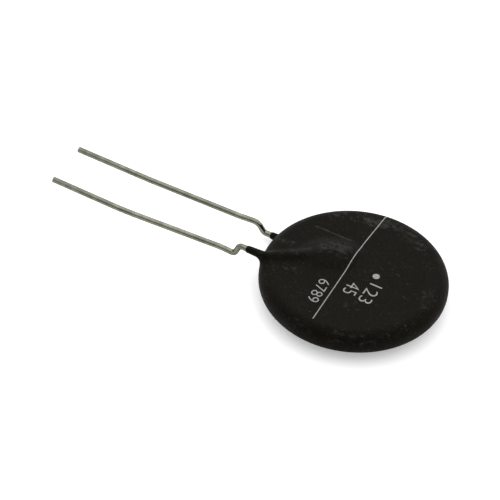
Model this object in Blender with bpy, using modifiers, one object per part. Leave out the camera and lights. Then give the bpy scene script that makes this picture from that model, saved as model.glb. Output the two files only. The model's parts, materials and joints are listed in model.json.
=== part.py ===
"""A disc NTC thermistor with two radial wire leads, built as eight closed solids.

A ceramic disc carries a silver layer on each face. A lead is soldered to each layer, and
a dipped resin coat holds everything, with a short sleeve down each lead.

The disc's axis is +Z and the leads run along -X. Shapes are modelled about the centre of
the disc, and an empty then lifts them so that the origin is under the middle of the part,
on the surface that it lies on. All lengths are in metres.
"""

import math
from typing import NamedTuple

import bmesh
import bpy
import numpy as np
from mathutils import Matrix, Vector

# Clearance between pieces that touch on the real part
FIT_GAP = 0.00003

# Ceramic disc and silver layers
CERAMIC_DIAMETER = 0.0240
CERAMIC_THICKNESS = 0.0023
CERAMIC_CHAMFER = 0.00012
SILVER_THICKNESS = 0.00008
SILVER_MARGIN = 0.0006

# Leads
LEAD_DIAMETER = 0.0008
LEAD_PITCH = 0.0075
LEAD_LENGTH_PAST_SLEEVE = 0.0302
LEAD_PLANE_OFFSET = -0.0002
TURN_INSIDE_RIM = 0.0008
TURN_RADIUS = 0.0030


class LeadBends(NamedTuple):
    """One lead's step from its sleeve to the middle plane, and its bends beyond that.

    The wander holds (share of the way from the step to the tip, shift along Y) pairs.
    """

    step_to_sleeve: float
    step_length: float
    outer_bend_radius: float
    inner_bend_radius: float
    wander: tuple


FRONT_BENDS = LeadBends(
    step_to_sleeve=0.0011,
    step_length=0.0008,
    outer_bend_radius=0.0007,
    inner_bend_radius=0.00065,
    wander=((0.0, 0.00020), (0.08, 0.00032), (0.60, -0.00034), (1.0, 0.0)),
)
REAR_BENDS = LeadBends(
    step_to_sleeve=0.00105,
    step_length=0.0010,
    outer_bend_radius=0.0013,
    inner_bend_radius=0.0006,
    wander=((0.0, -0.00018), (0.10, -0.00040), (0.60, -0.00056), (1.0, -0.00035)),
)
WANDER_RADIUS = 0.060
BEND_BEFORE_STEP = 0.008

# Solder joints: the place of the middle of the front joint, and its half sizes
SOLDER_X = -0.0041
SOLDER_Y = 0.0013
SOLDER_HALF_LENGTH = 0.0036
SOLDER_HALF_WIDTH = 0.0025
SOLDER_OVER_LEAD = 0.00009
SOLDER_FILM = 0.00005
LEAD_PAST_SOLDER_MIDDLE = 0.0015

# Resin coat
COAT_ON_FACE = 0.0006
COAT_ON_EDGE = 0.00097
COAT_ON_LEAD = 0.00030
COAT_ON_SOLDER = 0.00038
RIM_RADIUS = 0.00175
RIDGE_BLEND = 0.0006
SLEEVE_LENGTH = 0.0022
SLEEVE_WALL_AT_END = 0.00006
SLEEVE_WALL_AT_RIM = 0.00013
WEB_LENGTH = 0.0008
RIDGE_GROWTH_LENGTH = 0.0040

# Fineness of the faceted surfaces
TURN_STEPS = 64
DOME_STEPS = 32
DOME_RINGS = 6
ARC_STEPS = 5
COAT_SUBDIVISIONS = 4
FACE_SHARE = 0.62
FINE_EDGE = 0.0006
DRAW_STEPS = 60
SMOOTH_ANGLE = math.radians(35)
LEAD_BEVEL_RESOLUTION = 4
MERGE_DISTANCE = 0.0000002

# Sizes that follow from the ones above
lead_radius = LEAD_DIAMETER / 2
ceramic_radius = CERAMIC_DIAMETER / 2
silver_radius = ceramic_radius - SILVER_MARGIN
ceramic_top = CERAMIC_THICKNESS / 2
silver_bottom = ceramic_top + FIT_GAP
silver_top = silver_bottom + SILVER_THICKNESS
solder_bottom = silver_top + FIT_GAP
lead_height = solder_bottom + SOLDER_FILM + FIT_GAP + lead_radius
solder_height = lead_height + lead_radius + FIT_GAP + SOLDER_OVER_LEAD - solder_bottom
coat_face = solder_bottom + COAT_ON_FACE
coat_radius = ceramic_radius + FIT_GAP + COAT_ON_EDGE
rim_radius = min(RIM_RADIUS, coat_face)
flat_radius = coat_radius - rim_radius
rim_middle_height = coat_face - rim_radius
bore_radius = lead_radius + FIT_GAP
ridge_radius = bore_radius + COAT_ON_LEAD
sleeve_end_radius = bore_radius + SLEEVE_WALL_AT_END
sleeve_rim_radius = bore_radius + SLEEVE_WALL_AT_RIM
lobe_cover = FIT_GAP + COAT_ON_SOLDER
lobe_height = solder_height + lobe_cover
rim_at_lead = math.sqrt(coat_radius**2 - (LEAD_PITCH / 2) ** 2)
sleeve_end_x = -(rim_at_lead + SLEEVE_LENGTH)
tip_x = sleeve_end_x - LEAD_LENGTH_PAST_SLEEVE
turn_x = -(rim_at_lead - TURN_INSIDE_RIM)
part_middle_x = (tip_x + coat_radius) / 2

FRONT = 1
REAR = -1


# Collections, materials and objects


def clear_scene():
    for item in list(bpy.data.objects):
        bpy.data.objects.remove(item, do_unlink=True)


def new_collection(name):
    collection = bpy.data.collections.new(name)
    bpy.context.scene.collection.children.link(collection)
    return collection


def new_material(name, color, roughness, metallic):
    material = bpy.data.materials.new(name)
    material.use_nodes = True
    shader = material.node_tree.nodes["Principled BSDF"]
    shader.inputs["Base Color"].default_value = (*color, 1.0)
    shader.inputs["Roughness"].default_value = roughness
    shader.inputs["Metallic"].default_value = metallic
    return material


def new_object(name, data, collection):
    item = bpy.data.objects.new(name, data)
    collection.objects.link(item)
    return item


def evaluated_mesh(item):
    bpy.context.view_layer.update()
    depsgraph = bpy.context.evaluated_depsgraph_get()
    return bpy.data.meshes.new_from_object(item.evaluated_get(depsgraph))


def as_mesh_object(item, collection):
    """Replaces an object by one whose mesh has the modifiers or the bevel in it."""
    mesh = evaluated_mesh(item)
    shape = bmesh.new()
    shape.from_mesh(mesh)
    bmesh.ops.remove_doubles(shape, verts=shape.verts, dist=MERGE_DISTANCE)
    bmesh.ops.recalc_face_normals(shape, faces=shape.faces)
    bmesh.ops.triangulate(shape, faces=shape.faces)
    shape.to_mesh(mesh)
    shape.free()
    name = item.name
    placed = item.matrix_world.copy()
    bpy.data.objects.remove(item, do_unlink=True)
    solid = new_object(name, mesh, collection)
    solid.matrix_world = placed
    return solid


def as_cutter(item):
    item.hide_render = True
    item.display_type = "WIRE"
    return item


def boolean(item, other, operation):
    modifier = item.modifiers.new(f"{operation.lower()} {other.name}", "BOOLEAN")
    modifier.operation = operation
    modifier.object = other


def finish(item, material, holder):
    item.data.materials.clear()
    item.data.materials.append(material)
    item.data.shade_smooth()
    item.data.set_sharp_from_angle(angle=SMOOTH_ANGLE)
    item.parent = holder


# Basic shapes


def turned(name, profile, steps, collection):
    """A solid of revolution about Z; the profile is (radius, height), top to bottom."""
    mesh = bpy.data.meshes.new(name)
    points = [(radius, 0.0, height) for radius, height in profile]
    mesh.from_pydata(points, [(i, i + 1) for i in range(len(points) - 1)], [])
    item = new_object(name, mesh, collection)
    screw = item.modifiers.new("turn", "SCREW")
    screw.axis = "Z"
    screw.angle = 2 * math.pi
    screw.steps = steps
    screw.render_steps = steps
    screw.use_merge_vertices = True
    screw.merge_threshold = MERGE_DISTANCE
    return as_mesh_object(item, collection)


def tube(name, points, radius, collection, widths=None):
    """A round bar along the points; widths are each point's share of the radius."""
    curve = bpy.data.curves.new(name, "CURVE")
    curve.dimensions = "3D"
    curve.bevel_depth = radius
    curve.bevel_resolution = LEAD_BEVEL_RESOLUTION
    curve.use_fill_caps = True
    spline = curve.splines.new("POLY")
    spline.points.add(len(points) - 1)
    for index, point in enumerate(points):
        spline.points[index].co = (*point, 1.0)
        spline.points[index].radius = widths[index] if widths else 1.0
    return as_mesh_object(new_object(name, curve, collection), collection)


def rounded_path(corners, radii):
    """The corners' polyline, with an arc of the given radius at each inner corner."""
    path = [corners[0]]
    for before, corner, after, radius in zip(corners, corners[1:], corners[2:], radii):
        back = (before - corner).normalized()
        ahead = (after - corner).normalized()
        half_angle = back.angle(ahead) / 2
        reach = radius / math.tan(half_angle)
        centre = corner + (back + ahead).normalized() * (radius / math.sin(half_angle))
        start = corner + back * reach - centre
        end = corner + ahead * reach - centre
        sweep = start.angle(end)
        for step in range(ARC_STEPS + 1):
            share = step / ARC_STEPS
            from_start = math.sin((1 - share) * sweep) / math.sin(sweep)
            from_end = math.sin(share * sweep) / math.sin(sweep)
            path.append(centre + start * from_start + end * from_end)
    path.append(corners[-1])
    return path


# The leads' routes, about the centre of the disc


def solder_middle(side):
    return Vector((SOLDER_X, side * SOLDER_Y, side * solder_bottom))


def inner_direction(side):
    """The way that the lead runs over the silver, from its turn to the solder joint."""
    turn = Vector((turn_x, -side * LEAD_PITCH / 2, 0.0))
    middle = solder_middle(side)
    return Vector((middle.x - turn.x, middle.y - turn.y, 0.0)).normalized()


def inner_corners(side, start_x, past_end):
    """The stretch inside the coat, from start_x on the sleeve's axis to the lead's end."""
    y = -side * LEAD_PITCH / 2
    z = side * lead_height
    middle = solder_middle(side)
    end = middle + inner_direction(side) * (LEAD_PAST_SOLDER_MIDDLE + past_end)
    return [Vector((start_x, y, z)), Vector((turn_x, y, z)), Vector((end.x, end.y, z))]


def lead_path(side, bends):
    y = -side * LEAD_PITCH / 2
    step_end_x = sleeve_end_x - bends.step_to_sleeve
    step_start_x = step_end_x - bends.step_length
    beyond = tip_x - step_start_x
    outer = [
        Vector((step_start_x + beyond * share, y + shift, LEAD_PLANE_OFFSET))
        for share, shift in reversed(bends.wander)
    ]
    corners = outer + inner_corners(side, step_end_x, 0.0)
    radii = [WANDER_RADIUS, BEND_BEFORE_STEP, bends.outer_bend_radius, bends.inner_bend_radius]
    return rounded_path(corners, radii + [TURN_RADIUS])


def inner_path(side, start_x, past_end):
    return rounded_path(inner_corners(side, start_x, past_end), [TURN_RADIUS])


# The outer form of the coat, as the zero level of a distance field


def smooth_union(first, second, blend):
    share = np.clip(0.5 + 0.5 * (second - first) / blend, 0.0, 1.0)
    return second + (first - second) * share - blend * share * (1.0 - share)


def disc_distance(points):
    """A flat disc with a round rim."""
    out = np.hypot(points[:, 0], points[:, 1]) - flat_radius
    up = np.abs(points[:, 2]) - rim_middle_height
    beyond = np.hypot(np.maximum(out, 0.0), np.maximum(up, 0.0))
    return beyond + np.minimum(np.maximum(out, up), 0.0) - rim_radius


def ridge_distance(points, side):
    """The ridge over a lead, thin where it leaves the rim and full at the solder."""
    path = [np.array(point) for point in inner_path(side, -rim_at_lead - WEB_LENGTH, 0.0)]
    nearest = np.full(len(points), np.inf)
    passed = 0.0
    for start, end in zip(path, path[1:]):
        along = end - start
        length = np.linalg.norm(along)
        share = np.clip((points - start) @ along / length**2, 0.0, 1.0)
        gap = np.linalg.norm(points - start - share[:, None] * along, axis=1)
        growth = np.clip((passed + share * length - WEB_LENGTH) / RIDGE_GROWTH_LENGTH, 0.0, 1.0)
        radius = sleeve_rim_radius + (ridge_radius - sleeve_rim_radius) * growth
        nearest = np.minimum(nearest, gap - radius)
        passed += length
    return nearest


def lobe_distance(points, side):
    """The low dome over a solder joint."""
    ahead = np.array(inner_direction(side))
    across = np.array([-ahead[1], ahead[0], 0.0])
    offset = points - np.array(solder_middle(side))
    local = np.stack([offset @ ahead, offset @ across, offset[:, 2]], axis=1)
    half = np.array([SOLDER_HALF_LENGTH, SOLDER_HALF_WIDTH, solder_height]) + lobe_cover
    level = np.linalg.norm(local / half, axis=1)
    slope = np.maximum(np.linalg.norm(local / half**2, axis=1), 1.0)
    return level * (level - 1.0) / slope


def coat_distance(points):
    form = disc_distance(points)
    for side in (FRONT, REAR):
        hump = smooth_union(ridge_distance(points, side), lobe_distance(points, side), RIDGE_BLEND)
        form = smooth_union(form, hump, RIDGE_BLEND)
    return form


def disc_outward(points):
    """The way out of the plain disc at points on its surface."""
    reach = np.hypot(points[:, 0], points[:, 1])
    share = (np.minimum(reach, flat_radius) / np.maximum(reach, MERGE_DISTANCE))[:, None]
    level = np.clip(points[:, 2], -rim_middle_height, rim_middle_height)
    way = points - np.column_stack([points[:, :2] * share, level])
    return way / np.linalg.norm(way, axis=1)[:, None]


def refine_near_humps(mesh):
    """Splits long edges of the plain disc where the coat rises over a lead."""
    shape = bmesh.new()
    shape.from_mesh(mesh)
    while True:
        edges = [edge for edge in shape.edges if edge.calc_length() > FINE_EDGE]
        middles = np.array([(edge.verts[0].co + edge.verts[1].co) / 2 for edge in edges])
        near = np.zeros(len(edges), bool)
        for side in (FRONT, REAR):
            near |= ridge_distance(middles, side) < RIDGE_BLEND
            near |= lobe_distance(middles, side) < RIDGE_BLEND
        long_edges = [edge for edge, is_near in zip(edges, near) if is_near]
        if not long_edges:
            break
        bmesh.ops.subdivide_edges(shape, edges=long_edges, cuts=1)
        bmesh.ops.triangulate(shape, faces=shape.faces)
    shape.to_mesh(mesh)
    shape.free()


def draw_to_coat_form(mesh):
    """Moves each vertex along its way out of the disc to the outside of the coat."""
    points = np.empty(len(mesh.vertices) * 3)
    mesh.vertices.foreach_get("co", points)
    points = points.reshape(-1, 3)
    way = disc_outward(points)
    travel = np.full(len(points), lobe_height + rim_radius)
    for _ in range(DRAW_STEPS):
        travel -= coat_distance(points + way * travel[:, None])
    mesh.vertices.foreach_set("co", (points + way * travel[:, None]).ravel())
    mesh.update()


# Pieces


def build_ceramic(collection):
    r, h, c = ceramic_radius, ceramic_top, CERAMIC_CHAMFER
    profile = [(0, h), (r - c, h), (r, h - c), (r, c - h), (r - c, -h), (0, -h)]
    return turned("ceramic_disc", profile, TURN_STEPS, collection)


def build_silver(side, collection):
    name = "front_electrode" if side == FRONT else "rear_electrode"
    low, high = sorted((side * silver_bottom, side * silver_top))
    profile = [(0, high), (silver_radius, high), (silver_radius, low), (0, low)]
    return turned(name, profile, TURN_STEPS, collection)


def solder_dome(name, side, grow, collection):
    """A dome on the silver, longer along the lead than across it.

    A grown one stands that much bigger all round, and reaches that far below its base.
    """
    arc = [math.radians(90 * i / DOME_RINGS) for i in range(DOME_RINGS + 1)]
    profile = [(math.sin(angle), math.cos(angle)) for angle in arc] + [(0.0, 0.0)]
    item = turned(name, profile, DOME_STEPS, collection)
    height = solder_height + 2 * grow
    half = (SOLDER_HALF_LENGTH + grow, SOLDER_HALF_WIDTH + grow, side * height)
    base = solder_middle(side) - Vector((0.0, 0.0, side * grow))
    ahead = inner_direction(side)
    turn = Matrix.Rotation(math.atan2(ahead.y, ahead.x), 4, "Z")
    item.data.transform(Matrix.Translation(base) @ turn @ Matrix.Diagonal((*half, 1.0)))
    if side == REAR:
        item.data.flip_normals()
    return item


def build_lead(side, collection):
    name, bends = ("front_lead", FRONT_BENDS) if side == FRONT else ("rear_lead", REAR_BENDS)
    return tube(name, lead_path(side, bends), lead_radius, collection)


def lead_bore(name, side, cutters):
    start_x = sleeve_end_x - bore_radius
    path = inner_path(side, start_x, FIT_GAP)
    return as_cutter(tube(name, path, bore_radius, cutters))


def build_solder(side, collection, bore):
    name = "front_solder_joint" if side == FRONT else "rear_solder_joint"
    item = solder_dome(name, side, 0.0, collection)
    boolean(item, bore, "DIFFERENCE")
    return item


def coat_blank(collection):
    """The outside of the coat without its sleeves: a ball pressed into the plain disc."""
    shape = bmesh.new()
    bmesh.ops.create_icosphere(shape, subdivisions=COAT_SUBDIVISIONS, radius=1.0)
    for vertex in shape.verts:
        polar = math.acos(min(abs(vertex.co.z), 1.0)) / (math.pi / 2)
        around = math.atan2(vertex.co.y, vertex.co.x)
        down_rim = max(0.0, (polar - FACE_SHARE) / (1 - FACE_SHARE))
        bend = math.radians(90) * down_rim
        reach = flat_radius * min(1.0, polar / FACE_SHARE) + rim_radius * math.sin(bend)
        height = rim_middle_height * (1 - down_rim) + rim_radius * math.cos(bend)
        z = math.copysign(height, vertex.co.z)
        vertex.co = (reach * math.cos(around), reach * math.sin(around), z)
    mesh = bpy.data.meshes.new("coating")
    shape.to_mesh(mesh)
    shape.free()
    refine_near_humps(mesh)
    draw_to_coat_form(mesh)
    return new_object("coating", mesh, collection)


def coat_sleeve(name, side, cutters):
    """The thin resin sleeve that runs out along a lead."""
    y = -side * LEAD_PITCH / 2
    z = side * lead_height
    ends = [(sleeve_end_x, sleeve_end_radius), (-rim_at_lead, sleeve_rim_radius)]
    ends.append((turn_x, sleeve_end_radius))
    points = [Vector((x, y, z)) for x, _ in ends]
    widths = [radius / sleeve_rim_radius for _, radius in ends]
    return as_cutter(tube(name, points, sleeve_rim_radius, cutters, widths))


def coat_pocket(cutters):
    """The space inside the coat for the ceramic disc and its silver layers."""
    upper = [
        (0, silver_top + FIT_GAP),
        (silver_radius + FIT_GAP, silver_top + FIT_GAP),
        (silver_radius + FIT_GAP, ceramic_top + FIT_GAP),
        (ceramic_radius + FIT_GAP, ceramic_top + FIT_GAP),
    ]
    profile = upper + [(radius, -height) for radius, height in reversed(upper)]
    return as_cutter(turned("pocket_cutter", profile, TURN_STEPS, cutters))


def build_coating(collection, cutters, bores):
    item = coat_blank(collection)
    boolean(item, coat_sleeve("front_sleeve", FRONT, cutters), "UNION")
    boolean(item, coat_sleeve("rear_sleeve", REAR, cutters), "UNION")
    boolean(item, coat_pocket(cutters), "DIFFERENCE")
    for side, bore in bores.items():
        dome = solder_dome(f"{bore.name}_dome", side, FIT_GAP, cutters)
        boolean(item, as_cutter(dome), "DIFFERENCE")
        boolean(item, bore, "DIFFERENCE")
    return item


def build():
    clear_scene()
    parts = new_collection("ntc_thermistor")
    cutters = new_collection("cutters")
    holder = new_object("disc_centre", None, parts)

    resin = new_material("black_resin", (0.014, 0.013, 0.012), 0.62, 0.0)
    ceramic = new_material("dark_ceramic", (0.045, 0.042, 0.040), 0.55, 0.0)
    silver = new_material("fired_silver", (0.72, 0.71, 0.68), 0.45, 1.0)
    solder = new_material("solder", (0.55, 0.55, 0.54), 0.35, 1.0)
    tinned = new_material("tinned_wire", (0.50, 0.49, 0.45), 0.35, 1.0)

    bores = {
        FRONT: lead_bore("front_bore", FRONT, cutters),
        REAR: lead_bore("rear_bore", REAR, cutters),
    }
    finish(build_ceramic(parts), ceramic, holder)
    for side, bore in bores.items():
        finish(build_silver(side, parts), silver, holder)
        finish(build_solder(side, parts, bore), solder, holder)
        finish(build_lead(side, parts), tinned, holder)
    coating = build_coating(parts, cutters, bores)
    finish(coating, resin, holder)
    for cutter in cutters.objects:
        cutter.parent = holder
    lowest = min(vertex.co.z for vertex in coating.data.vertices)
    holder.location = (-part_middle_x, 0.0, -lowest)


build()
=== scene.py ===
"""The looks of a disc NTC thermistor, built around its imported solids.

The dipped resin coat, the two tinned leads and the print are modelled finely here. The
pieces inside the coat keep their solids and get better materials. Shapes are worked out
about the centre of the disc and then moved to the frame. All lengths are in metres.
"""

import json
import math

import bmesh
import bpy
import numpy as np
from mathutils import Matrix, Vector

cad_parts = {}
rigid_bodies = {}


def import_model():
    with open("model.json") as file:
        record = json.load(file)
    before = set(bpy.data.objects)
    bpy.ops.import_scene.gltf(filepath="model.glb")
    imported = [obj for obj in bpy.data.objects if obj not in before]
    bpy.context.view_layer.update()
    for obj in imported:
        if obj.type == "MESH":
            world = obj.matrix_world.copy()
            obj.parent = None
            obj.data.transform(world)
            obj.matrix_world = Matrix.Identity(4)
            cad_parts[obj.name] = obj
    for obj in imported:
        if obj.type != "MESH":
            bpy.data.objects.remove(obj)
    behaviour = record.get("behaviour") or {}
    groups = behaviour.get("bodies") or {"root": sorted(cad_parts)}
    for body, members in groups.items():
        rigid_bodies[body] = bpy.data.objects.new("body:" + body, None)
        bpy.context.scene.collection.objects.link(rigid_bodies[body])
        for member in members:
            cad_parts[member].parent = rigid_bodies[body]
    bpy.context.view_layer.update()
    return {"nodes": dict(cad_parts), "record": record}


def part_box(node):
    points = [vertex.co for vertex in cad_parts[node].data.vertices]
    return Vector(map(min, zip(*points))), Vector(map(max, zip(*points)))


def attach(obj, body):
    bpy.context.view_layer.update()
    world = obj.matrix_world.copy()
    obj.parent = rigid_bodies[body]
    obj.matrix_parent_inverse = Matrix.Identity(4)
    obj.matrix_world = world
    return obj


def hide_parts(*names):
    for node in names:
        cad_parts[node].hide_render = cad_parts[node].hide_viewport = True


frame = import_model()

MM = 0.001

# Clearance between pieces that touch on the real part
FIT_GAP = 0.03 * MM

# Leads, each with its step from the sleeve to the middle plane and its slight bends:
# (share of the way from the step to the tip, shift along Y)
LEAD_DIAMETER = 0.8 * MM
LEAD_PITCH = 7.5 * MM
LEAD_PLANE_OFFSET = -0.2 * MM
TURN_INSIDE_RIM = 0.8 * MM
TURN_RADIUS = 3.0 * MM
BEND_BEFORE_STEP = 8.0 * MM
WANDER_RADIUS = 60 * MM
CUT_EDGE = 0.035 * MM
CUT_EDGE_ANGLE = math.radians(60)
FRONT_STEP = {
    "to_sleeve": 1.1 * MM,
    "length": 0.8 * MM,
    "outer_radius": 0.7 * MM,
    "inner_radius": 0.65 * MM,
    "wander": ((0.0, 0.20 * MM), (0.08, 0.32 * MM), (0.60, -0.34 * MM), (1.0, 0.0)),
}
REAR_STEP = {
    "to_sleeve": 1.05 * MM,
    "length": 1.0 * MM,
    "outer_radius": 1.3 * MM,
    "inner_radius": 0.6 * MM,
    "wander": ((0.0, -0.18 * MM), (0.10, -0.40 * MM), (0.60, -0.56 * MM), (1.0, -0.35 * MM)),
}

# Solder joints under the coat: the place of the front one
SOLDER_X = -4.1 * MM
SOLDER_Y = 1.3 * MM
SOLDER_HALF_LENGTH = 3.6 * MM
SOLDER_HALF_WIDTH = 2.5 * MM
SOLDER_FILM = 0.05 * MM
LEAD_PAST_SOLDER_MIDDLE = 1.5 * MM

# Resin coat
COAT_ON_FACE = 0.6 * MM
COAT_ON_LEAD = 0.26 * MM
COAT_ON_SOLDER = 0.34 * MM
RIM_RADIUS = 1.75 * MM
RIDGE_BLEND = 0.9 * MM
HUMP_BLEND = 0.7 * MM
WEB_BLEND = 1.3 * MM
SLEEVE_LENGTH = 2.2 * MM
SLEEVE_WALL_AT_END = 0.08 * MM
SLEEVE_WALL_AT_RIM = 0.17 * MM
RIDGE_GROWTH_LENGTH = 4.0 * MM
LOBE_TAIL = 0.6 * MM
LOBE_TAIL_SHIFT = 0.1 * MM
WAVE_HEIGHT = 0.005 * MM
WAVE_SINK = 0.015 * MM
WAVE_LENGTHS = (3.5 * MM, 9.0 * MM)
WAVE_COUNT = 10
WAVE_SEED = 7

# Fineness
COAT_VOXEL = 0.13 * MM
RELAX_STEPS = 6
EVEN_STEPS = 5
SNAP_STEPS = 4
HEIGHT_STEPS = 60
SLOPE_STEP = 0.002 * MM
LEAST_STEEPNESS = 0.25
ARC_STEPS = 14
ROUGH_DISC_SEGMENTS = 96
ROUGH_RIM_SEGMENTS = 6
WIRE_SEGMENTS = 8
DOT_SEGMENTS = 40
SAME_POINT = FIT_GAP / 30
SAME_POINT_IN_COAT = FIT_GAP / 300
SHARP_ANGLE = math.radians(40)

# The two sides of the part
FRONT = 1
REAR = -1

# Print on the front, about the disc's centre; a text is its name, its characters, both
# ends of its base line and its height
INK_THICKNESS = 0.02 * MM
STROKE_OFFSET = -0.012
LONGEST_PRINT_EDGE = 0.3 * MM
EDGE_CUTS = 5
LINE_STEP = 0.25 * MM
LINE_WIDTH = 0.135 * MM
LINE_CORNERS = (
    (-1.27 * MM, 12.07 * MM),
    (-1.4 * MM, 5.35 * MM),
    (-1.21 * MM, 2.06 * MM),
    (-0.57 * MM, -11.19 * MM),
)
TEXTS = (
    ("print_upper", "123", (2.88 * MM, -0.95 * MM), (2.85 * MM, -4.8 * MM), 1.9 * MM),
    ("print_middle", "45", (0.25 * MM, -2.15 * MM), (0.3 * MM, -4.42 * MM), 1.95 * MM),
    ("print_lower", "6789", (-3.35 * MM, -3.7 * MM), (-3.05 * MM, -8.35 * MM), 1.6 * MM),
)
DOT_MIDDLE = (3.0 * MM, 0.6 * MM)
DOT_DIAMETER = 1.0 * MM

# Places that follow from the frame
ceramic_low, ceramic_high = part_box("ceramic_disc")
coat_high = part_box("coating")[1]
solder_low, solder_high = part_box("front_solder_joint")
disc_centre = (ceramic_low + ceramic_high) / 2
coat_radius = coat_high.y - disc_centre.y
solder_bottom = solder_low.z - disc_centre.z
solder_height = solder_high.z - solder_low.z
lead_radius = LEAD_DIAMETER / 2
lead_height = solder_bottom + SOLDER_FILM + FIT_GAP + lead_radius
coat_face = solder_bottom + COAT_ON_FACE
flat_radius = coat_radius - RIM_RADIUS
rim_middle_height = coat_face - RIM_RADIUS
bore_radius = lead_radius + FIT_GAP
ridge_radius = bore_radius + COAT_ON_LEAD
sleeve_end_radius = bore_radius + SLEEVE_WALL_AT_END
sleeve_rim_radius = bore_radius + SLEEVE_WALL_AT_RIM
lobe_cover = FIT_GAP + COAT_ON_SOLDER
rim_at_lead = math.sqrt(coat_radius**2 - (LEAD_PITCH / 2) ** 2)
sleeve_end_x = -(rim_at_lead + SLEEVE_LENGTH)
sleeve_lip = math.sqrt(sleeve_end_radius**2 - bore_radius**2)
turn_x = -(rim_at_lead - TURN_INSIDE_RIM)
tip_x = frame["record"]["mounts"][0]["pos_m"][0] - disc_centre.x


# Meshes and objects


def new_object(name, data):
    item = bpy.data.objects.new(name, data)
    bpy.context.scene.collection.objects.link(item)
    return item


def finished(name, shape):
    """A new object with the bmesh as its mesh."""
    mesh = bpy.data.meshes.new(name)
    shape.to_mesh(mesh)
    shape.free()
    return new_object(name, mesh)


def opened(item):
    """A bmesh of the object's mesh."""
    shape = bmesh.new()
    shape.from_mesh(item.data)
    return shape


def put_back(shape, item):
    """The object, with the opened bmesh as its mesh again."""
    shape.to_mesh(item.data)
    shape.free()
    return item


def applied(item):
    """The object with its modifiers, or its curve's bevel, turned into plain mesh."""
    bpy.context.view_layer.update()
    depsgraph = bpy.context.evaluated_depsgraph_get()
    mesh = bpy.data.meshes.new_from_object(item.evaluated_get(depsgraph))
    name = item.name
    bpy.data.objects.remove(item, do_unlink=True)
    return new_object(name, mesh)


def coordinates(mesh):
    points = np.empty(len(mesh.vertices) * 3)
    mesh.vertices.foreach_get("co", points)
    return points.reshape(-1, 3)


def move_vertices(mesh, points):
    mesh.vertices.foreach_set("co", points.ravel())
    mesh.update()


def place(item, material):
    """Moves a finished piece from the disc's centre to the frame and dresses it."""
    item.data.transform(Matrix.Translation(disc_centre))
    item.data.materials.clear()
    item.data.materials.append(material)
    item.data.shade_smooth()
    item.data.set_sharp_from_angle(angle=SHARP_ANGLE)
    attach(item, "root")
    return item


def rounded_path(corners, radii):
    """The corners' polyline, with an arc of the given radius at each inner corner."""
    path = [corners[0]]
    for before, corner, after, radius in zip(corners, corners[1:], corners[2:], radii):
        back = (before - corner).normalized()
        ahead = (after - corner).normalized()
        half_angle = back.angle(ahead) / 2
        reach = radius / math.tan(half_angle)
        centre = corner + (back + ahead).normalized() * (radius / math.sin(half_angle))
        start = corner + back * reach - centre
        end = corner + ahead * reach - centre
        sweep = start.angle(end)
        for step in range(ARC_STEPS + 1):
            share = step / ARC_STEPS
            from_start = math.sin((1 - share) * sweep) / math.sin(sweep)
            from_end = math.sin(share * sweep) / math.sin(sweep)
            path.append(centre + start * from_start + end * from_end)
    path.append(corners[-1])
    return path


def tube(name, points, radius, resolution=4, widths=None):
    """A round bar along the points; widths are each point's share of the radius."""
    curve = bpy.data.curves.new(name, "CURVE")
    curve.dimensions = "3D"
    curve.bevel_depth = radius
    curve.bevel_resolution = resolution
    curve.use_fill_caps = True
    spline = curve.splines.new("POLY")
    spline.points.add(len(points) - 1)
    for index, point in enumerate(points):
        spline.points[index].co = (*point, 1.0)
        spline.points[index].radius = widths[index] if widths else 1.0
    return applied(new_object(name, curve))


# The leads' routes, about the centre of the disc


def solder_middle(side):
    return Vector((SOLDER_X, side * SOLDER_Y, side * solder_bottom))


def inner_direction(side):
    """The way that the lead runs over the silver, from its turn to the solder joint."""
    turn = Vector((turn_x, -side * LEAD_PITCH / 2, 0.0))
    middle = solder_middle(side)
    return Vector((middle.x - turn.x, middle.y - turn.y, 0.0)).normalized()


def inner_corners(side, start_x):
    """The stretch inside the coat, from start_x on the sleeve's axis to the lead's end."""
    y = -side * LEAD_PITCH / 2
    z = side * lead_height
    end = solder_middle(side) + inner_direction(side) * LEAD_PAST_SOLDER_MIDDLE
    return [Vector((start_x, y, z)), Vector((turn_x, y, z)), Vector((end.x, end.y, z))]


def lead_path(side, step):
    y = -side * LEAD_PITCH / 2
    step_end_x = sleeve_end_x - step["to_sleeve"]
    step_start_x = step_end_x - step["length"]
    beyond = tip_x - step_start_x
    outer = [
        Vector((step_start_x + beyond * share, y + shift, LEAD_PLANE_OFFSET))
        for share, shift in reversed(step["wander"])
    ]
    corners = outer + inner_corners(side, step_end_x)
    step_radii = [step["outer_radius"], step["inner_radius"]]
    return rounded_path(corners, [WANDER_RADIUS, BEND_BEFORE_STEP, *step_radii, TURN_RADIUS])


# The outer form of the coat, as the zero level of a distance field


def smooth_union(first, second, blend):
    share = np.clip(0.5 + 0.5 * (second - first) / blend, 0.0, 1.0)
    return second + (first - second) * share - blend * share * (1.0 - share)


def disc_distance(points):
    """A flat disc with a round rim."""
    out = np.hypot(points[:, 0], points[:, 1]) - flat_radius
    up = np.abs(points[:, 2]) - rim_middle_height
    beyond = np.hypot(np.maximum(out, 0.0), np.maximum(up, 0.0))
    return beyond + np.minimum(np.maximum(out, up), 0.0) - RIM_RADIUS


def ridge_route(side):
    """The middle line of the sleeve and ridge over a lead, and its radius at each point."""
    path = rounded_path(inner_corners(side, sleeve_end_x + sleeve_lip), [TURN_RADIUS])
    passed = list(np.cumsum([0.0] + [(end - start).length for start, end in zip(path, path[1:])]))
    full_at = SLEEVE_LENGTH + RIDGE_GROWTH_LENGTH
    path.insert(-1, path[-2].lerp(path[-1], (full_at - passed[-2]) / (passed[-1] - passed[-2])))
    passed.insert(-1, full_at)
    stations = [0.0, SLEEVE_LENGTH, full_at]
    return path, np.interp(passed, stations, [sleeve_end_radius, sleeve_rim_radius, ridge_radius])


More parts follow.
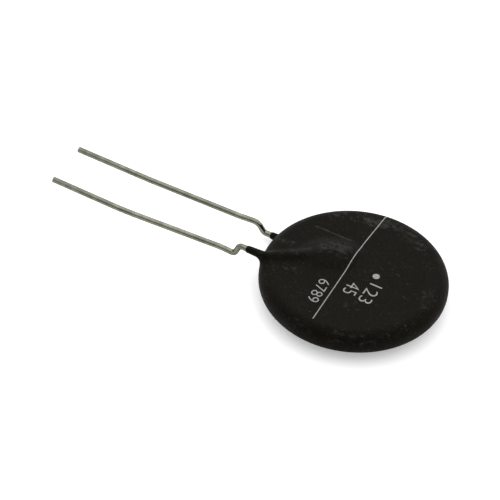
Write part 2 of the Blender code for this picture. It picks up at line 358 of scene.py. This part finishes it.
def ridge_distance(points, side):
    nearest = np.full(len(points), np.inf)
    path, radii = ridge_route(side)
    for start, end, first, last in zip(path, path[1:], radii, radii[1:]):
        along = np.array(end - start)
        share = np.clip((points - np.array(start)) @ along / (along @ along), 0.0, 1.0)
        gap = np.linalg.norm(points - np.array(start) - share[:, None] * along, axis=1)
        nearest = np.minimum(nearest, gap - first - (last - first) * share)
    return nearest


def lobe_distance(points, side):
    """The low dome over a solder joint, drawn out to a tail towards the sleeve."""
    ahead = np.array(inner_direction(side))
    across = np.array([-ahead[1], ahead[0], 0.0])
    offset = points - np.array(solder_middle(side))
    local = np.stack([offset @ ahead, offset @ across, offset[:, 2]], axis=1)
    local[:, 1] -= side * LOBE_TAIL_SHIFT * np.clip(-local[:, 0] / LOBE_TAIL, 0.0, 1.0)
    half = np.array([SOLDER_HALF_LENGTH, SOLDER_HALF_WIDTH, solder_height]) + lobe_cover
    half = half + (local[:, :1] < 0) * np.array([LOBE_TAIL, 0.0, 0.0])
    level = np.linalg.norm(local / half, axis=1)
    slope = np.maximum(np.linalg.norm(local / half**2, axis=1), 1.0)
    return level * (level - 1.0) / slope


def waves():
    """Long low waves in the coat, as (wave vector, phase) pairs."""
    random = np.random.default_rng(WAVE_SEED)
    found = []
    for _ in range(WAVE_COUNT):
        way = random.normal(size=3) * (1.0, 1.0, 0.4)
        length = random.uniform(*WAVE_LENGTHS)
        vector = way / np.linalg.norm(way) * 2 * math.pi / length
        found.append((vector, random.uniform(0, 2 * math.pi)))
    return found


COAT_WAVES = waves()


def web_blend(points, side):
    """How far the resin flows between disc and ridge: farthest under the lead, at the rim."""
    near_rim = np.clip((-points[:, 0] - rim_at_lead + WEB_BLEND) / WEB_BLEND, 0.0, 1.0)
    below = np.clip((lead_height - side * points[:, 2]) / ridge_radius, 0.0, 1.0)
    return RIDGE_BLEND + (WEB_BLEND - RIDGE_BLEND) * near_rim * below


def coat_distance(points):
    form = disc_distance(points)
    for side in (FRONT, REAR):
        hump = smooth_union(ridge_distance(points, side), lobe_distance(points, side), HUMP_BLEND)
        form = smooth_union(form, hump, web_blend(points, side))
    wave = sum(np.sin(points @ way + phase) for way, phase in COAT_WAVES)
    on_face = np.clip((flat_radius - np.hypot(points[:, 0], points[:, 1])) / RIM_RADIUS, 0.0, 1.0)
    return form + (WAVE_SINK + WAVE_HEIGHT * wave) * on_face


def coat_height(x, y):
    """The height of the front of the coat at places given by x and y."""
    points = np.stack([x, y, np.full(len(x), coat_face + solder_height + ridge_radius)], axis=1)
    for _ in range(HEIGHT_STEPS):
        points[:, 2] -= coat_distance(points)
    return points[:, 2]


# The coat


def rough_disc():
    """A rough form of the coat's disc, for the remesh."""
    shape = bmesh.new()
    bmesh.ops.create_cone(
        shape,
        cap_ends=True,
        segments=ROUGH_DISC_SEGMENTS,
        radius1=coat_radius,
        radius2=coat_radius,
        depth=2 * coat_face,
    )
    rims = [edge for edge in shape.edges if abs(edge.verts[0].co.z - edge.verts[1].co.z) < FIT_GAP]
    round_edge = {"offset": RIM_RADIUS, "segments": ROUGH_RIM_SEGMENTS, "profile": 0.5}
    bmesh.ops.bevel(shape, geom=rims, affect="EDGES", **round_edge)
    return finished("rough_disc", shape)


def rough_lobe(side):
    shape = bmesh.new()
    bmesh.ops.create_icosphere(shape, subdivisions=4, radius=1.0)
    solder_half = (SOLDER_HALF_LENGTH, SOLDER_HALF_WIDTH, solder_height)
    half = [length + lobe_cover for length in solder_half]
    ahead = inner_direction(side)
    turn = Matrix.Rotation(math.atan2(ahead.y, ahead.x), 4, "Z")
    shape.transform(Matrix.Translation(solder_middle(side)) @ turn @ Matrix.Diagonal((*half, 1.0)))
    return finished("rough_lobe", shape)


def rough_ridge(side):
    path, radii = ridge_route(side)
    path[0].x -= sleeve_lip
    return tube("rough_ridge", path, ridge_radius, widths=list(radii / ridge_radius))


def joined(name, items):
    """One object with the meshes of several."""
    shape = bmesh.new()
    for item in items:
        shape.from_mesh(item.data)
        bpy.data.objects.remove(item, do_unlink=True)
    return finished(name, shape)


def evened_out(points, edges):
    """The points, each drawn halfway to the middle of its neighbours."""
    start, end = np.concatenate([edges, edges[:, ::-1]]).T
    count = len(points)
    neighbours = np.bincount(start, minlength=count)
    total = [np.bincount(start, weights=along[end], minlength=count) for along in points.T]
    return (points + np.stack(total, axis=1) / neighbours[:, None]) / 2


def drawn_to_coat(points):
    """The points, each moved onto the coat's form down the slope of its distance field."""
    here = coat_distance(points)
    slope = np.empty(points.shape)
    for axis in range(3):
        beside = points.copy()
        beside[:, axis] += SLOPE_STEP
        slope[:, axis] = (coat_distance(beside) - here) / SLOPE_STEP
    steepness = np.maximum((slope**2).sum(axis=1), LEAST_STEEPNESS)
    return points - slope * (here / steepness)[:, None]


def snap_to_coat(mesh):
    """Draws the mesh onto the coat's form, evening it out between the first moves."""
    edges = np.empty(len(mesh.edges) * 2, dtype=np.int32)
    mesh.edges.foreach_get("vertices", edges)
    edges = edges.reshape(-1, 2)
    points = coordinates(mesh)
    for _ in range(EVEN_STEPS):
        points = evened_out(drawn_to_coat(points), edges)
    for _ in range(SNAP_STEPS):
        points = drawn_to_coat(points)
    move_vertices(mesh, points)


def grown(name):
    """A CAD piece with the clearance added all round, as a cutter about the disc's centre."""
    shape = opened(frame["nodes"][name])
    bmesh.ops.remove_doubles(shape, verts=shape.verts, dist=SAME_POINT)
    bmesh.ops.translate(shape, verts=shape.verts, vec=-disc_centre)
    bmesh.ops.recalc_face_normals(shape, faces=shape.faces)
    shape.normal_update()
    for vertex in shape.verts:
        vertex.co += vertex.normal * FIT_GAP * vertex.calc_shell_factor()
    return finished(f"{name}_space", shape)


def resin_coat():
    """The coat without its hollow: a rough form, remeshed evenly and drawn onto the true one."""
    rough = [rough_disc()]
    for side in (FRONT, REAR):
        rough += [rough_lobe(side), rough_ridge(side)]
    coat = joined("resin_coat", rough)
    remesh = coat.modifiers.new("even_quads", "REMESH")
    remesh.mode = "VOXEL"
    remesh.voxel_size = COAT_VOXEL
    relax = coat.modifiers.new("relax", "SMOOTH")
    relax.iterations = RELAX_STEPS
    coat = applied(coat)
    snap_to_coat(coat.data)
    return coat


def without_flaps(item):
    """The object without the pairs of faces that lie back to back on the same corners."""
    shape = opened(item)
    bmesh.ops.triangulate(shape, faces=shape.faces)
    bmesh.ops.remove_doubles(shape, verts=shape.verts, dist=SAME_POINT_IN_COAT)
    shape.verts.index_update()
    on_corners = {}
    for face in shape.faces:
        on_corners.setdefault(frozenset(vertex.index for vertex in face.verts), []).append(face)
    flaps = [face for faces in on_corners.values() if len(faces) > 1 for face in faces]
    bmesh.ops.delete(shape, geom=flaps, context="FACES")
    return put_back(shape, item)


def hollowed(coat):
    """Takes the space for the pieces inside out of the coat."""
    cutters = bpy.data.collections.new("coat_cutters")
    for name in frame["nodes"]:
        if name != "coating":
            cutter = grown(name)
            cutters.objects.link(cutter)
            cutter.hide_render = True
    hollow = coat.modifiers.new("hollow", "BOOLEAN")
    hollow.operation = "DIFFERENCE"
    hollow.operand_type = "COLLECTION"
    hollow.collection = cutters
    hollow.solver = "EXACT"
    coat = applied(coat)
    for cutter in list(cutters.objects):
        bpy.data.objects.remove(cutter, do_unlink=True)
    bpy.data.collections.remove(cutters)
    return without_flaps(coat)


# Materials

# Colours are linear; a pair of tones or roughnesses is both ends of a noise
RESIN_SPECULAR = 0.047
RESIN_SPECULAR_TINT = (1.0, 0.96, 0.80, 1.0)
RESIN_TONES = ((0.0021, 0.0018, 0.0010), (0.0040, 0.0035, 0.0021))
RESIN_GRAIN_TONE = (0.0125, 0.0115, 0.0090)
RESIN_PALE_TONE = (0.085, 0.083, 0.078)
RESIN_ROUGHNESS = (0.52, 0.66)
# Strength of the scuffs, which also carry the painted highlights on the hump and ridge
SCUFF_AND_HIGHLIGHT_STRENGTH = 0.34
SCRATCH_STRENGTH = 0.4
CLOUD_RUB = 0.07
WIRE_SPECULAR_TINT = (0.20, 0.20, 0.17, 1.0)
WIRE_TONES = ((0.145, 0.146, 0.116), (0.235, 0.235, 0.190))
WIRE_DRAWN_TONE = (0.085, 0.085, 0.064)
WIRE_ROUGHNESS = (0.07, 0.18)
PRINT_SPECULAR = 0.3
PRINT_TONES = ((0.29, 0.29, 0.275), (0.19, 0.19, 0.18))
PRINT_ROUGHNESS = (0.55, 0.75)

# Inner pieces: material name, light and dark tone; then scale of the mottle, metallic,
# roughness and depth of the bumps
CERAMIC_LOOK = (
    ("sintered_oxide", (0.055, 0.052, 0.050), (0.030, 0.028, 0.027)),
    (3.0, 0.0, 0.5, 0.01 * MM),
)
SILVER_LOOK = (
    ("fired_silver_layer", (0.76, 0.75, 0.72), (0.62, 0.61, 0.58)),
    (2.0, 1.0, 0.38, 0.004 * MM),
)
SOLDER_LOOK = (
    ("solder_metal", (0.60, 0.60, 0.59), (0.46, 0.46, 0.45)),
    (1.2, 1.0, 0.28, 0.02 * MM),
)
INNER_ROUGHNESS_RANGE = 0.15

# Share of a stroke's or a line's width that has its full strength
CORE_SHARE = 0.3


def feed(tree, socket, value):
    if isinstance(value, bpy.types.NodeSocket):
        tree.links.new(value, socket)
    else:
        socket.default_value = value


def node(tree, kind, inputs=None, **settings):
    """A new shader node; an input given as a socket is linked, and any other is set."""
    made = tree.nodes.new(kind)
    for name, value in settings.items():
        setattr(made, name, value)
    for name, value in (inputs or {}).items():
        feed(tree, made.inputs[name], value)
    return made


def math_node(tree, operation, *values, clamp=False):
    inputs = dict(enumerate(values))
    made = node(tree, "ShaderNodeMath", inputs, operation=operation, use_clamp=clamp)
    return made.outputs[0]


def vector_math(tree, operation, inputs):
    """The outputs of a Vector Math node."""
    return node(tree, "ShaderNodeVectorMath", inputs, operation=operation).outputs


def millimetres(tree, stretch=(1.0, 1.0, 1.0)):
    """Places on the object in millimetres, stretched along the axes."""
    on_object = node(tree, "ShaderNodeTexCoord").outputs["Object"]
    inputs = {"Vector": on_object, "Scale": Vector(stretch) / MM}
    return node(tree, "ShaderNodeMapping", inputs).outputs[0]


def noise(tree, place_socket, scale, detail=2.0, roughness=0.5):
    inputs = {"Vector": place_socket, "Scale": scale, "Detail": detail, "Roughness": roughness}
    return node(tree, "ShaderNodeTexNoise", inputs).outputs[0]


def ramp(tree, value, low, high, to_low=0.0, to_high=1.0):
    """A smooth step from to_low at low to to_high at high."""
    inputs = {
        "Value": value,
        "From Min": low,
        "From Max": high,
        "To Min": to_low,
        "To Max": to_high,
    }
    made = node(tree, "ShaderNodeMapRange", inputs, interpolation_type="SMOOTHSTEP")
    return made.outputs[0]


def mixed(tree, share, first, second):
    made = node(tree, "ShaderNodeMix", data_type="RGBA")
    for socket, value in zip((0, 6, 7), (share, first, second)):
        feed(tree, made.inputs[socket], (*value, 1.0) if isinstance(value, tuple) else value)
    return made.outputs[2]


def bumped(tree, height, distance, strength=1.0, before=None):
    inputs = {"Height": height, "Distance": distance, "Strength": strength}
    if before:
        inputs["Normal"] = before
    return node(tree, "ShaderNodeBump", inputs).outputs[0]


def new_material(name, metallic=0.0, specular=0.5):
    material = bpy.data.materials.new(name)
    material.use_nodes = True
    shader = material.node_tree.nodes["Principled BSDF"]
    shader.inputs["Metallic"].default_value = metallic
    shader.inputs["Specular IOR Level"].default_value = specular
    return material, material.node_tree, shader


def specks(tree, places, density, smallest, largest):
    """Small round specks: 1 in their middle, falling to 0 at their edge."""
    cells = node(tree, "ShaderNodeTexVoronoi", {"Vector": places, "Scale": density})
    chance = node(tree, "ShaderNodeSeparateColor", {"Color": cells.outputs["Color"]}).outputs[0]
    size = ramp(tree, chance, 0.55, 1.0, smallest * density, largest * density)
    share = math_node(tree, "DIVIDE", cells.outputs["Distance"], size)
    there = math_node(tree, "GREATER_THAN", chance, 0.62)
    spot = ramp(tree, share, 0.6, 1.0, 1.0, 0.0)
    return math_node(tree, "MULTIPLY", spot, there)


def strokes(tree, turn, density, length, width, share):
    """Short pale strokes, all turned one way about Z: 1 in their middle, 0 around them."""
    rotation = {"Vector": millimetres(tree), "Angle": turn}
    turned = node(tree, "ShaderNodeVectorRotate", rotation, rotation_type="Z_AXIS")
    squeeze = {"Vector": turned.outputs[0], "Scale": (width / length, 1.0, 1.0)}
    squeezed = node(tree, "ShaderNodeMapping", squeeze).outputs[0]
    cells = node(tree, "ShaderNodeTexVoronoi", {"Vector": squeezed, "Scale": density})
    chance = node(tree, "ShaderNodeSeparateColor", {"Color": cells.outputs["Color"]}).outputs[1]
    reach = width * density
    spot = ramp(tree, cells.outputs["Distance"], reach * CORE_SHARE, reach, 1.0, 0.0)
    return math_node(tree, "MULTIPLY", spot, math_node(tree, "LESS_THAN", chance, share))


def near_line(tree, places, start, end, width):
    """1 on the line from start to end, in millimetres about the disc's centre, 0 beside it."""
    first = (Vector((*start, 0.0)) * MM + disc_centre) / MM
    last = (Vector((*end, 0.0)) * MM + disc_centre) / MM
    first.z = last.z = 0.0
    line = last - first
    flat = vector_math(tree, "MULTIPLY", {0: places, 1: (1.0, 1.0, 0.0)})[0]
    offset = vector_math(tree, "SUBTRACT", {0: flat, 1: first})[0]
    along = vector_math(tree, "DOT_PRODUCT", {0: offset, 1: line})["Value"]
    share = math_node(tree, "DIVIDE", along, line.length_squared, clamp=True)
    foot = vector_math(tree, "SCALE", {0: line, "Scale": share})[0]
    gap = vector_math(tree, "DISTANCE", {0: offset, 1: foot})["Value"]
    return ramp(tree, gap, width * CORE_SHARE, width, 1.0, 0.0)


# Wear and painted highlights on the front, in millimetres about the disc's centre: the long
# scratch, as start, end and width; rubbed places, as start, end, width and strength, of which
# the first is partly scuffing and partly a painted highlight on the hump's top, and the second
# a painted highlight along the far flank of the ridge; layers of specks, as density, smallest
# and largest size and strength; and layers of short strokes, as turn in degrees, density,
# length, width, share of the cells and strength
SCRATCH = ((-8.6, 5.1), (-3.1, 5.1), 0.15)
RUBS_AND_HIGHLIGHTS = (
    # Partly scuffing, partly a painted highlight on the hump's top
    ((-5.2, 1.9), (-3.0, 2.5), 2.3, 0.17),
    # A painted highlight along the far flank of the ridge
    ((-8.6, -0.9), (-6.2, 0.6), 1.5, 0.12),
    ((-2.8, 9.9), (-0.7, 10.4), 1.6, 0.22),
    ((-1.2, 10.8), (1.6, 10.7), 1.2, 0.18),
    ((3.0, 10.4), (5.6, 9.0), 1.4, 0.16),
    ((-8.0, 8.6), (-3.2, 10.2), 1.6, 0.13),
    ((-11.8, 0.2), (-9.9, 0.4), 0.9, 0.14),
    ((-8.1, -4.3), (-6.4, -3.7), 1.0, 0.10),
    ((10.4, 1.6), (11.3, -1.0), 1.2, 0.13),
    ((2.6, -12.2), (7.4, -10.2), 1.1, 0.08),
    ((-5.0, -11.7), (-1.6, -12.4), 0.9, 0.07),
    ((8.4, -8.9), (11.6, -5.0), 1.2, 0.09),
    ((-11.5, -5.6), (-9.6, -8.4), 1.1, 0.08),
    ((-13.4, -3.75), (-12.6, -3.75), 0.7, 0.10),
)
SPECKS = ((0.9, 0.05, 0.13, 0.4), (1.4, 0.04, 0.10, 0.3), (2.6, 0.02, 0.05, 0.3))
STROKES = (
    (20, 2.2, 0.50, 0.09, 0.40, 0.26),
    (75, 2.0, 0.40, 0.08, 0.40, 0.22),
    (130, 2.4, 0.60, 0.07, 0.35, 0.20),
)


def resin_material():
    """Matte black resin, clouded and grained, with the wear of the tables above and the painted
    highlights that two of its rubbed places stand for, on the hump and along the ridge.
    """
    material, tree, shader = new_material("black_resin_coat", specular=RESIN_SPECULAR)
    shader.inputs["Specular Tint"].default_value = RESIN_SPECULAR_TINT
    places = millimetres(tree)
    cloud = noise(tree, places, 0.32, 5.0, 0.6)
    grain = noise(tree, places, 5.0, 3.0, 0.6)
    tone = mixed(tree, ramp(tree, cloud, 0.3, 0.7), *RESIN_TONES)
    tone = mixed(tree, ramp(tree, grain, 0.45, 0.7, 0.0, 0.55), tone, RESIN_GRAIN_TONE)
    mottle = noise(tree, millimetres(tree, (0.8, 1.3, 1.0)), 1.5, 6.0, 0.72)
    cloudy = ramp(tree, noise(tree, places, 0.25, 3.0, 0.6), 0.42, 0.68)
    rubs_and_highlights = math_node(tree, "MULTIPLY", cloudy, CLOUD_RUB)
    # The rubbed places include painted highlights on the hump and along the ridge's far flank
    for start, end, width, strength in RUBS_AND_HIGHLIGHTS:
        spot = math_node(tree, "MULTIPLY", near_line(tree, places, start, end, width), strength)
        rubs_and_highlights = math_node(tree, "MAXIMUM", rubs_and_highlights, spot)
    # The scuffs carry those painted highlights too
    scuffs_and_highlights = ramp(tree, math_node(tree, "ADD", mottle, rubs_and_highlights), 0.58, 0.86)
    layers = [(scuffs_and_highlights, SCUFF_AND_HIGHLIGHT_STRENGTH)]
    for density, smallest, largest, strength in SPECKS:
        layers.append((specks(tree, places, density, smallest, largest), strength))
    # Strokes crowd where the rubbed places are, the painted highlights included
    patchy = math_node(tree, "ADD", cloudy, math_node(tree, "MULTIPLY", rubs_and_highlights, 2.0))
    crowd = ramp(tree, patchy, 0.1, 0.7, 0.35, 1.0)
    for turn, density, length, width, share, strength in STROKES:
        stroke = strokes(tree, math.radians(turn), density, length, width, share)
        layers.append((math_node(tree, "MULTIPLY", stroke, crowd), strength))
    broken = ramp(tree, mottle, 0.38, 0.6, 0.15, 1.0)
    scratch = math_node(tree, "MULTIPLY", near_line(tree, places, *SCRATCH), broken)
    layers.append((scratch, SCRATCH_STRENGTH))
    pale = 0.0
    for layer, strength in layers:
        pale = math_node(tree, "MAXIMUM", pale, math_node(tree, "MULTIPLY", layer, strength))
    feed(tree, shader.inputs["Base Color"], mixed(tree, pale, tone, RESIN_PALE_TONE))
    feed(tree, shader.inputs["Roughness"], ramp(tree, cloud, 0.3, 0.7, *RESIN_ROUGHNESS))
    skin = bumped(tree, noise(tree, places, 2.2, 3.0, 0.5), 0.02 * MM)
    skin = bumped(tree, grain, 0.006 * MM, before=skin)
    skin = bumped(tree, scratch, 0.015 * MM, before=skin)
    feed(tree, shader.inputs["Normal"], skin)
    return material


def wire_material():
    material, tree, shader = new_material("tinned_lead_wire", metallic=1.0)
    drawn = noise(tree, millimetres(tree, (0.25, 4.0, 4.0)), 2.2, 4.0, 0.6)
    cloud = noise(tree, millimetres(tree), 0.9, 4.0, 0.6)
    tone = mixed(tree, ramp(tree, cloud, 0.3, 0.7), *WIRE_TONES)
    tone = mixed(tree, ramp(tree, drawn, 0.55, 0.8, 0.0, 0.6), tone, WIRE_DRAWN_TONE)
    feed(tree, shader.inputs["Base Color"], tone)
    feed(tree, shader.inputs["Roughness"], ramp(tree, drawn, 0.3, 0.7, *WIRE_ROUGHNESS))
    shader.inputs["Specular Tint"].default_value = WIRE_SPECULAR_TINT
    skin = bumped(tree, drawn, 0.01 * MM)
    skin = bumped(tree, cloud, 0.02 * MM, before=skin)
    feed(tree, shader.inputs["Normal"], skin)
    return material


def print_material():
    material, tree, shader = new_material("pale_print", specular=PRINT_SPECULAR)
    patchy = noise(tree, millimetres(tree), 3.5, 5.0, 0.65)
    tone = mixed(tree, ramp(tree, patchy, 0.35, 0.75), *PRINT_TONES)
    feed(tree, shader.inputs["Base Color"], tone)
    feed(tree, shader.inputs["Roughness"], ramp(tree, patchy, 0.3, 0.7, *PRINT_ROUGHNESS))
    feed(tree, shader.inputs["Normal"], bumped(tree, patchy, 0.01 * MM))
    return material


def inner_material(look):
    """A mottled material for a piece inside the coat."""
    (name, light, dark), (scale, metallic, roughness, depth) = look
    material, tree, shader = new_material(name, metallic=metallic)
    mottle = noise(tree, millimetres(tree), scale, 5.0, 0.6)
    rough = ramp(tree, mottle, 0.3, 0.7, roughness, roughness + INNER_ROUGHNESS_RANGE)
    feed(tree, shader.inputs["Base Color"], mixed(tree, ramp(tree, mottle, 0.3, 0.7), dark, light))
    feed(tree, shader.inputs["Roughness"], rough)
    feed(tree, shader.inputs["Normal"], bumped(tree, mottle, depth))
    return material


# Leads


def lead_wire(name, side, step):
    item = tube(name, lead_path(side, step), lead_radius, resolution=WIRE_SEGMENTS)
    weld = item.modifiers.new("weld", "WELD")
    weld.merge_threshold = SAME_POINT
    edge = item.modifiers.new("cut_edge", "BEVEL")
    edge.width = CUT_EDGE
    edge.segments = 2
    edge.limit_method = "ANGLE"
    edge.angle_limit = CUT_EDGE_ANGLE
    return applied(item)


# Print


def laid_on_coat(item):
    """Lays a flat mesh on the front of the coat and gives it the ink's thickness."""
    shape = opened(item)
    bmesh.ops.triangulate(shape, faces=shape.faces)
    for _ in range(EDGE_CUTS):
        long_edges = [edge for edge in shape.edges if edge.calc_length() > LONGEST_PRINT_EDGE]
        bmesh.ops.subdivide_edges(shape, edges=long_edges, cuts=1)
        bmesh.ops.triangulate(shape, faces=shape.faces)
    put_back(shape, item)
    points = coordinates(item.data)
    points[:, 2] = coat_height(points[:, 0], points[:, 1]) + INK_THICKNESS / 2
    move_vertices(item.data, points)
    solid = item.modifiers.new("ink", "SOLIDIFY")
    solid.thickness = INK_THICKNESS
    solid.offset = 0
    return applied(item)


def filled_anew(item):
    """The flat object filled again inside its outline, without the font's thin triangles."""
    shape = opened(item)
    bmesh.ops.delete(shape, geom=shape.faces[:], context="FACES_KEEP_BOUNDARY")
    bmesh.ops.triangle_fill(shape, use_beauty=True, edges=shape.edges[:])
    bmesh.ops.reverse_faces(shape, faces=[face for face in shape.faces if face.normal.z < 0])
    return put_back(shape, item)


def printed_text(name, text, base_start, base_end, height):
    """Plain characters from base_start to base_end, their tops to the left of the way."""
    curve = bpy.data.curves.new(name, "FONT")
    curve.body = text
    curve.offset = STROKE_OFFSET
    item = filled_anew(applied(new_object(name, curve)))
    points = coordinates(item.data)
    points -= points.min(axis=0)
    points /= np.maximum(points.max(axis=0), MM)
    start, end = Vector(base_start), Vector(base_end)
    along = end - start
    up = Vector((-along.y, along.x)).normalized() * height
    flat = np.outer(points[:, 0], along) + np.outer(points[:, 1], up) + np.array(start)
    move_vertices(item.data, np.column_stack([flat, np.zeros(len(flat))]))
    return item


def printed_line(name, corners, width):
    """A thin line through the corners."""
    shape = bmesh.new()
    rows = []
    for start, end in zip(corners, corners[1:]):
        steps = math.ceil((Vector(end) - Vector(start)).length / LINE_STEP)
        for step in range(steps + (end == corners[-1])):
            rows.append(Vector(start).lerp(Vector(end), step / steps))
    rows = [Vector((*row, 0.0)) for row in rows]
    half = Vector((width / 2, 0.0, 0.0))
    pairs = [(shape.verts.new(row - half), shape.verts.new(row + half)) for row in rows]
    for (left, right), (next_left, next_right) in zip(pairs, pairs[1:]):
        shape.faces.new((left, right, next_right, next_left))
    return finished(name, shape)


def printed_dot(name, middle, diameter):
    shape = bmesh.new()
    bmesh.ops.create_circle(shape, cap_ends=True, segments=DOT_SEGMENTS, radius=diameter / 2)
    bmesh.ops.translate(shape, verts=shape.verts, vec=(*middle, 0.0))
    return finished(name, shape)


# The stage: floor, light and camera

FLOOR_HALF_SIZE = 3.0
FLOOR_TONE = (0.8, 0.8, 0.8, 1.0)
FLOOR_FILL = 0.35
LIGHT_SIDE = Vector((-0.30, 0.66, 0.69))
SKY_RANGE = (-0.70, 0.80)
SKY_LEVELS = (0.10, 1.5)
WHITE = (1.0, 1.0, 1.0, 1.0)
KEY_LIGHT_OFFSET = Vector((-0.15, 0.30, 0.65))
KEY_LIGHT_SIZE = 0.5
KEY_LIGHT_POWER = 0.6


def white_floor():
    """A floor that shows white to the camera and in metal, and keeps the shadow."""
    shape = bmesh.new()
    bmesh.ops.create_grid(shape, x_segments=1, y_segments=1, size=FLOOR_HALF_SIZE)
    item = finished("floor", shape)
    material = bpy.data.materials.new("white_floor")
    material.use_nodes = True
    tree = material.node_tree
    tree.nodes.clear()
    paths = node(tree, "ShaderNodeLightPath").outputs
    seen = math_node(tree, "MAXIMUM", paths["Is Camera Ray"], paths["Is Glossy Ray"])
    seen = math_node(tree, "MAXIMUM", seen, paths["Is Transmission Ray"])
    matt = node(tree, "ShaderNodeBsdfDiffuse", {"Color": FLOOR_TONE})
    strength = math_node(tree, "MULTIPLY", seen, FLOOR_FILL)
    fill = node(tree, "ShaderNodeEmission", {"Strength": strength})
    both = node(tree, "ShaderNodeAddShader", {0: matt.outputs[0], 1: fill.outputs[0]})
    node(tree, "ShaderNodeOutputMaterial", {"Surface": both.outputs[0]})
    item.data.materials.append(material)


def studio_world():
    """A soft sky, bright on the side away from the camera and dim on the camera's side."""
    world = bpy.data.worlds.new("studio")
    bpy.context.scene.world = world
    world.use_nodes = True
    tree = world.node_tree
    tree.nodes.clear()
    way = node(tree, "ShaderNodeTexCoord").outputs["Generated"]
    towards_light = vector_math(tree, "DOT_PRODUCT", {0: way, 1: LIGHT_SIDE})["Value"]
    strength = ramp(tree, towards_light, *SKY_RANGE, *SKY_LEVELS)
    light = node(tree, "ShaderNodeBackground", {"Color": WHITE, "Strength": strength})
    node(tree, "ShaderNodeOutputWorld", {"Surface": light.outputs[0]})


def key_light():
    """A softbox that looks at the disc."""
    light = bpy.data.lights.new("key_light", "AREA")
    light.shape = "SQUARE"
    light.size = KEY_LIGHT_SIZE
    light.energy = KEY_LIGHT_POWER
    item = new_object("key_light", light)
    item.location = disc_centre + KEY_LIGHT_OFFSET
    item.rotation_mode = "QUATERNION"
    item.rotation_quaternion = (disc_centre - item.location).to_track_quat("-Z", "Y")


# The photograph's camera, about the centre of the disc, for an image of 500 by 500
CAMERA_DISTANCE = 800 * MM
CAMERA_AZIMUTH = math.radians(24.87)
CAMERA_ELEVATION = math.radians(43.62)
CAMERA_ROLL = math.radians(4.733)
CAMERA_AIM = Vector((-14.930, -2.0665, 0.0)) * MM
CAMERA_CLIP = (0.01, 10.0)
PIXELS_PER_METRE = 7313.7
IMAGE_PIXELS = 500
SENSOR = 36.0


def photo_camera():
    east, north = math.cos(CAMERA_AZIMUTH), math.sin(CAMERA_AZIMUTH)
    level, up = math.cos(CAMERA_ELEVATION), math.sin(CAMERA_ELEVATION)
    back = Vector((north * level, -east * level, up))
    right = Vector((east, north, 0.0))
    turn = Matrix.Rotation(CAMERA_ROLL, 3, back)
    axes = Matrix((turn @ right, turn @ back.cross(right), back)).transposed()
    camera = bpy.data.cameras.new("camera")
    camera.sensor_width = SENSOR
    camera.lens = SENSOR * CAMERA_DISTANCE * PIXELS_PER_METRE / IMAGE_PIXELS
    camera.clip_start = CAMERA_CLIP[0]
    camera.clip_end = CAMERA_CLIP[1]
    item = new_object("camera", camera)
    stand = disc_centre + CAMERA_AIM + back * CAMERA_DISTANCE
    item.matrix_world = Matrix.Translation(stand) @ axes.to_4x4()
    bpy.context.scene.camera = item


# Building


def dress_inner_pieces():
    ceramic, silver, solder = map(inner_material, (CERAMIC_LOOK, SILVER_LOOK, SOLDER_LOOK))
    dress = {
        "ceramic_disc": ceramic,
        "front_electrode": silver,
        "rear_electrode": silver,
        "front_solder_joint": solder,
        "rear_solder_joint": solder,
    }
    for name, material in dress.items():
        for slot in frame["nodes"][name].material_slots:
            slot.material = material


def build():
    bpy.context.scene.view_settings.view_transform = "Standard"
    photo_camera()
    white_floor()
    studio_world()
    key_light()
    dress_inner_pieces()

    coat = place(hollowed(resin_coat()), resin_material())
    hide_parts("coating")
    wire = wire_material()
    for name, node_name, side, step in (
        ("front_wire", "front_lead", FRONT, FRONT_STEP),
        ("rear_wire", "rear_lead", REAR, REAR_STEP),
    ):
        lead = place(lead_wire(name, side, step), wire)
        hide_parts(node_name)

    ink = print_material()
    marks = [printed_line("print_line", LINE_CORNERS, LINE_WIDTH)]
    marks += [printed_text(*row) for row in TEXTS]
    marks.append(printed_dot("print_dot", DOT_MIDDLE, DOT_DIAMETER))
    for mark in marks:
        place(laid_on_coat(mark), ink)


build()
